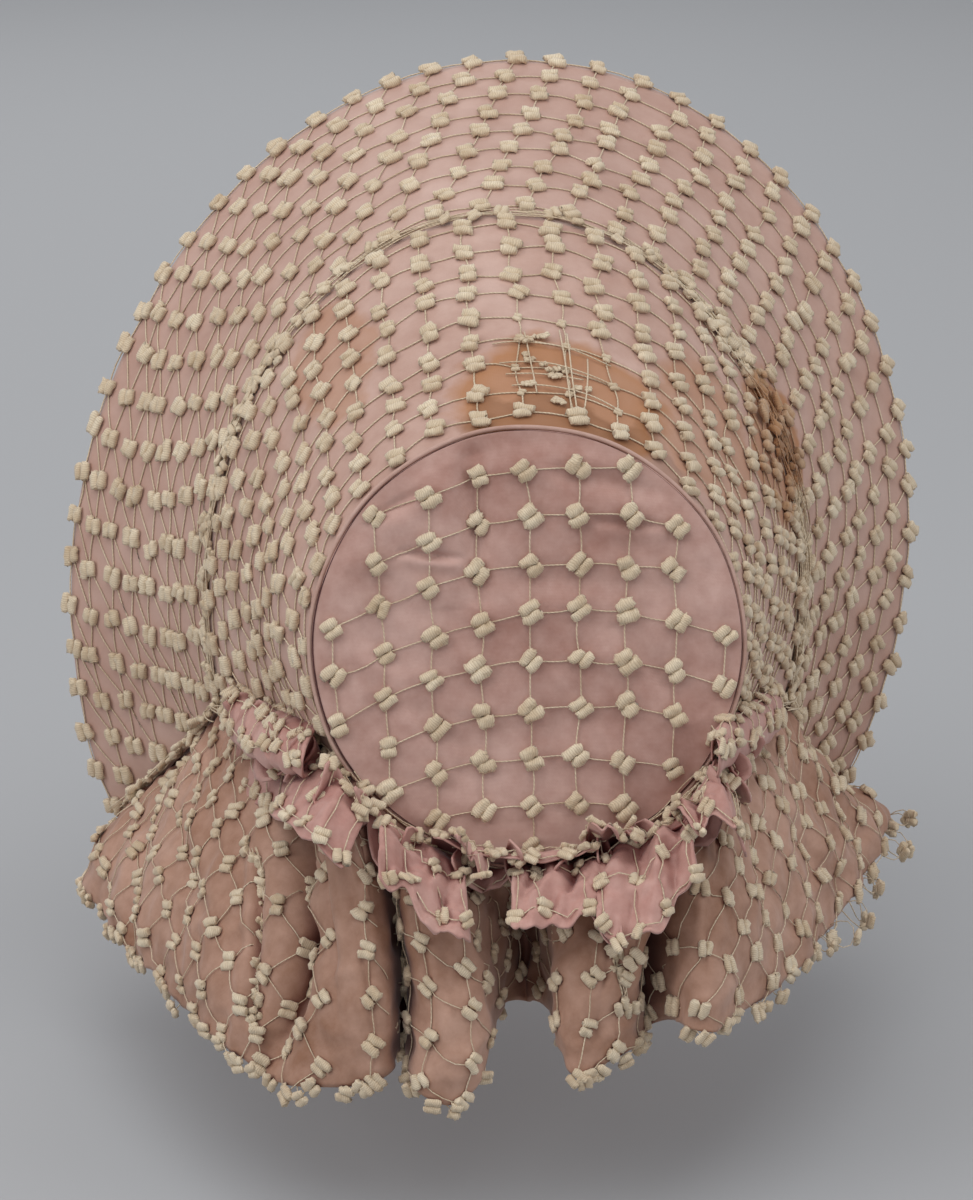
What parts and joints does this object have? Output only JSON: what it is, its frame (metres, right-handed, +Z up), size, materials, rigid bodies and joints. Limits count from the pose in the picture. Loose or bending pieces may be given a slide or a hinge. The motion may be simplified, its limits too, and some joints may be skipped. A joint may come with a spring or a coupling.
{
  "type": "poke bonnet",
  "caption": "Poke bonnet of pink silk: round crown tip, flaring crown side, deep stiff brim round the face, gathered neck curtain with a pleated heading.",
  "frame": {"origin": "the top of the head, just under the crown side where the bonnet rests on the wearer", "axes": "+Z up, -Y the way the wearer looks, through the brim; +X the wearer's left; the crown tip is at the back, towards +Y"},
  "size_m": [0.3271, 0.3253, 0.3066],
  "materials": {
    "stiff_silk": "dusty pink silk over a stiff form, soft sheen, water-stained",
    "soft_silk": "dusty pink to brown silk, soft sheen, creased",
    "piping_silk": "dark pink silk over a cord, soft sheen"
  },
  "bodies": {
    "root": {"crown_tip": "stiff_silk", "tip_piping": "piping_silk", "crown_side": "stiff_silk", "brim": "stiff_silk", "curtain": "soft_silk", "heading_left_roll": "soft_silk", "heading_left_under": "soft_silk", "heading_left_flap": "soft_silk", "heading_left_low": "soft_silk", "heading_left_ear": "soft_silk", "heading_back_strip": "soft_silk", "heading_right_ear": "soft_silk", "heading_right_lobe": "soft_silk", "heading_right_broad_lobe": "soft_silk", "heading_right_flap": "soft_silk", "heading_right_roll": "soft_silk"}
  },
  "joints": []
}
